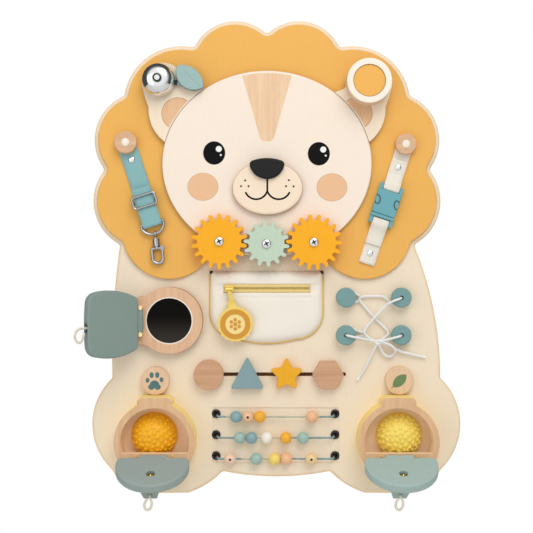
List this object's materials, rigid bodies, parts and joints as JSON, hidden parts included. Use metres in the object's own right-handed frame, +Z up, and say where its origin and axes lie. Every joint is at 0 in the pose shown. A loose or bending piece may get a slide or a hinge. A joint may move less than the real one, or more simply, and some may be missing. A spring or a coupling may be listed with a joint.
{
  "type": "wooden busy board",
  "caption": "Wall-hung wooden activity board in the outline of a seated lion, with meshing gears, bell, straps and clips, zip pocket, hinged doors, lacing, shape sliders and beads",
  "frame": {"origin": "on the back face, where it lies on the wall, midway across the head and near the board's mid height", "axes": "+Z up the wall, +X to the viewer's right, +Y into the wall, so the front faces -Y"},
  "size_m": [0.3958, 0.098, 0.4985],
  "materials": {
    "birch_cream": "satin lacquer, pale edge band",
    "birch_edge": "satin lacquer",
    "mane_ochre": "satin paint",
    "face_cream": "satin paint",
    "beech": "satin oil",
    "nose_black": "satin paint",
    "door_teal": "matte paint",
    "paw_shell": "satin lacquer with pastel yellow sides",
    "leaf_green": "satin paint",
    "steel": "polished",
    "web_teal": "woven webbing",
    "web_cream": "woven webbing",
    "buckle_teal": "moulded",
    "gear_amber": "satin paint",
    "gear_sage": "satin paint",
    "pocket_cloth": "plain weave with tan piping",
    "zip_gold": "polished",
    "mirror_silver": "plane mirror",
    "rope_cream": "twisted cotton",
    "lace_white": "braided",
    "ball_soft": "soft touch, amber and light yellow",
    "knob_teal": "satin paint",
    "triangle_grey": "satin paint",
    "star_amber": "satin paint",
    "cord_blue": "twisted, blue and cream",
    "bead_blue": "satin paint",
    "bead_amber": "satin paint",
    "bead_peach": "satin paint",
    "bead_white": "satin paint",
    "bead_sage": "satin paint",
    "bead_pink": "satin paint",
    "bead_tan": "satin oil",
    "bead_yellow": "satin paint"
  },
  "bodies": {
    "board": {"main_board": "birch_cream", "back_panel": "birch_edge", "mane_panel": "mane_ochre", "face_panel": "face_cream", "ears_and_muzzle": "face_cream", "beech_inlays": "beech", "nose": "nose_black", "bell_post": "steel", "bell_dome": "steel", "knob_base": "beech", "strap_buttons": "beech", "strap_left": "web_teal", "strap_right": "web_cream", "d_ring": "steel", "buckle_female": "buckle_teal", "gear_screws": "steel", "pocket": "pocket_cloth", "mirror_surround": "beech", "mirror_glass": "mirror_silver", "hinge_pins": "steel", "paw_box_left": "paw_shell", "paw_box_right": "paw_shell", "sensory_balls": "ball_soft", "lacing_knobs": "knob_teal", "lace": "lace_white", "abacus_cords": "cord_blue"},
    "bell_lever": {"bell_lever": "leaf_green"},
    "knob_dial": {"knob_dial": "beech"},
    "tri_glide": {"tri_glide": "steel"},
    "snap_body": {"snap_body": "steel"},
    "snap_gate": {"snap_gate": "steel"},
    "buckle_male": {"buckle_male": "buckle_teal", "strap_right_tail": "web_cream"},
    "gear_left": {"gear_left": "gear_amber"},
    "gear_middle": {"gear_middle": "gear_sage"},
    "gear_right": {"gear_right": "gear_amber"},
    "zip_slider": {"zip_slider": "zip_gold"},
    "zip_pull": {"zip_pull": "zip_gold"},
    "mirror_door": {"mirror_door": "door_teal", "mirror_door_rope": "rope_cream"},
    "paw_door_left": {"paw_door_left": "door_teal", "paw_rope_left": "rope_cream"},
    "paw_door_right": {"paw_door_right": "door_teal", "paw_rope_right": "rope_cream"},
    "paw_button": {"paw_button": "beech"},
    "leaf_button": {"leaf_button": "beech"},
    "disc_slider": {"disc_slider": "beech"},
    "triangle_slider": {"triangle_slider": "triangle_grey"},
    "star_slider": {"star_slider": "star_amber"},
    "hexagon_slider": {"hexagon_slider": "beech"},
    "beads_blue_natural_amber": {"beads_blue_natural_amber": "bead_blue"},
    "bead_peach_top": {"bead_peach_top": "bead_peach"},
    "beads_sage_blue": {"beads_sage_blue": "bead_sage"},
    "bead_white": {"bead_white": "bead_white"},
    "bead_amber": {"bead_amber": "bead_amber"},
    "bead_sage_right": {"bead_sage_right": "bead_sage"},
    "bead_pink": {"bead_pink": "bead_pink"},
    "bead_sage_low": {"bead_sage_low": "bead_sage"},
    "beads_yellow_peach": {"beads_yellow_peach": "bead_yellow"},
    "bead_tan": {"bead_tan": "bead_tan"}
  },
  "joints": [
    {"name": "bell_lever_swing", "type": "hinge", "parent": "board", "child": "bell_lever", "pos_m": [-0.0793, -0.03, 0.179], "axis": [0, 1, 0], "range_deg": [-10, 10], "stiffness_Nm_per_rad": 0.03},
    {"name": "knob_turn", "type": "hinge", "parent": "board", "child": "knob_dial", "pos_m": [0.105, -0.04, 0.1805], "axis": [0, 1, 0], "continuous": true},
    {"name": "glide_slide", "type": "slide", "parent": "board", "child": "tri_glide", "axis": [0.309, 0, -0.9511], "range_m": [-0.01, 0.012]},
    {"name": "snap_swivel", "type": "hinge", "parent": "board", "child": "snap_body", "pos_m": [-0.1162, -0.0271, 0.02399], "axis": [0.1045, 0, -0.9945], "range_deg": [-12, 12]},
    {"name": "snap_gate_turn", "type": "hinge", "parent": "snap_body", "child": "snap_gate", "pos_m": [-0.10926, -0.0271, 0.00964], "axis": [0, 1, 0], "range_deg": [0, 25], "stiffness_Nm_per_rad": 0.005, "springref_deg": -11.46},
    {"name": "buckle_release", "type": "slide", "parent": "board", "child": "buckle_male", "axis": [-0.309, 0, -0.9511], "range_m": [0, 0.02]},
    {"name": "gear_left_turn", "type": "hinge", "parent": "board", "child": "gear_left", "pos_m": [-0.04944, -0.034, 0.0159], "axis": [0, 1, 0], "continuous": true},
    {"name": "gear_middle_turn", "type": "hinge", "parent": "board", "child": "gear_middle", "pos_m": [-0.0005, -0.034, 0.0135], "axis": [0, 1, 0], "continuous": true},
    {"name": "gear_right_turn", "type": "hinge", "parent": "board", "child": "gear_right", "pos_m": [0.04847, -0.034, 0.0151], "axis": [0, 1, 0], "continuous": true},
    {"name": "zip_run", "type": "slide", "parent": "board", "child": "zip_slider", "axis": [1, 0, 0], "range_m": [0, 0.078]},
    {"name": "zip_pull_swing", "type": "hinge", "parent": "zip_slider", "child": "zip_pull", "pos_m": [-0.0392, -0.0324, -0.0336], "axis": [-1, 0, 0], "range_deg": [0, 120]},
    {"name": "mirror_door_swing", "type": "hinge", "parent": "board", "child": "mirror_door", "pos_m": [-0.1314, -0.0339, -0.0664], "axis": [0, 0, 1], "range_deg": [0, 143]},
    {"name": "paw_door_left_swing", "type": "hinge", "parent": "board", "child": "paw_door_left", "pos_m": [-0.1155, -0.0499, -0.2057], "axis": [-1, 0, 0], "range_deg": [0, 115]},
    {"name": "paw_door_right_swing", "type": "hinge", "parent": "board", "child": "paw_door_right", "pos_m": [0.1354, -0.0499, -0.2057], "axis": [-1, 0, 0], "range_deg": [0, 115]},
    {"name": "paw_button_turn", "type": "hinge", "parent": "board", "child": "paw_button", "pos_m": [-0.1168, -0.0234, -0.1295], "axis": [0, 1, 0], "continuous": true},
    {"name": "leaf_button_turn", "type": "hinge", "parent": "board", "child": "leaf_button", "pos_m": [0.1382, -0.0234, -0.1292], "axis": [0, 1, 0], "continuous": true},
    {"name": "disc_slide", "type": "slide", "parent": "board", "child": "disc_slider", "axis": [1, 0, 0], "range_m": [-0.007, 0.0039]},
    {"name": "triangle_slide", "type": "slide", "parent": "board", "child": "triangle_slider", "axis": [1, 0, 0], "range_m": [-0.0039, 0.0035]},
    {"name": "star_slide", "type": "slide", "parent": "board", "child": "star_slider", "axis": [1, 0, 0], "range_m": [-0.0035, 0.0045]},
    {"name": "hexagon_slide", "type": "slide", "parent": "board", "child": "hexagon_slider", "axis": [1, 0, 0], "range_m": [-0.0045, 0.01]},
    {"name": "beads_blue_natural_amber_slide", "type": "slide", "parent": "board", "child": "beads_blue_natural_amber", "axis": [1, 0, 0], "range_m": [-0.01, 0.02]},
    {"name": "bead_peach_top_slide", "type": "slide", "parent": "board", "child": "bead_peach_top", "axis": [1, 0, 0], "range_m": [-0.0215, 0.0135]},
    {"name": "beads_sage_blue_slide", "type": "slide", "parent": "board", "child": "beads_sage_blue", "axis": [1, 0, 0], "range_m": [-0.0138, 0.0015]},
    {"name": "bead_white_slide", "type": "slide", "parent": "board", "child": "bead_white", "axis": [1, 0, 0], "range_m": [-0.0015, 0.0035]},
    {"name": "bead_amber_slide", "type": "slide", "parent": "board", "child": "bead_amber", "axis": [1, 0, 0], "range_m": [-0.0036, 0.0027]},
    {"name": "bead_sage_right_slide", "type": "slide", "parent": "board", "child": "bead_sage_right", "axis": [1, 0, 0], "range_m": [-0.0026, 0.0227]},
    {"name": "bead_pink_slide", "type": "slide", "parent": "board", "child": "bead_pink", "axis": [1, 0, 0], "range_m": [-0.004, 0.007]},
    {"name": "bead_sage_low_slide", "type": "slide", "parent": "board", "child": "bead_sage_low", "axis": [1, 0, 0], "range_m": [-0.0072, 0.0032]},
    {"name": "beads_yellow_peach_slide", "type": "slide", "parent": "board", "child": "beads_yellow_peach", "axis": [1, 0, 0], "range_m": [-0.0032, 0.0064]},
    {"name": "bead_tan_slide", "type": "slide", "parent": "board", "child": "bead_tan", "axis": [1, 0, 0], "range_m": [-0.0065, 0.0143]}
  ],
  "couplings": [
    {"joint": "gear_middle_turn", "follows": "gear_left_turn", "ratio": -1.2857},
    {"joint": "gear_right_turn", "follows": "gear_left_turn", "ratio": 1}
  ]
}
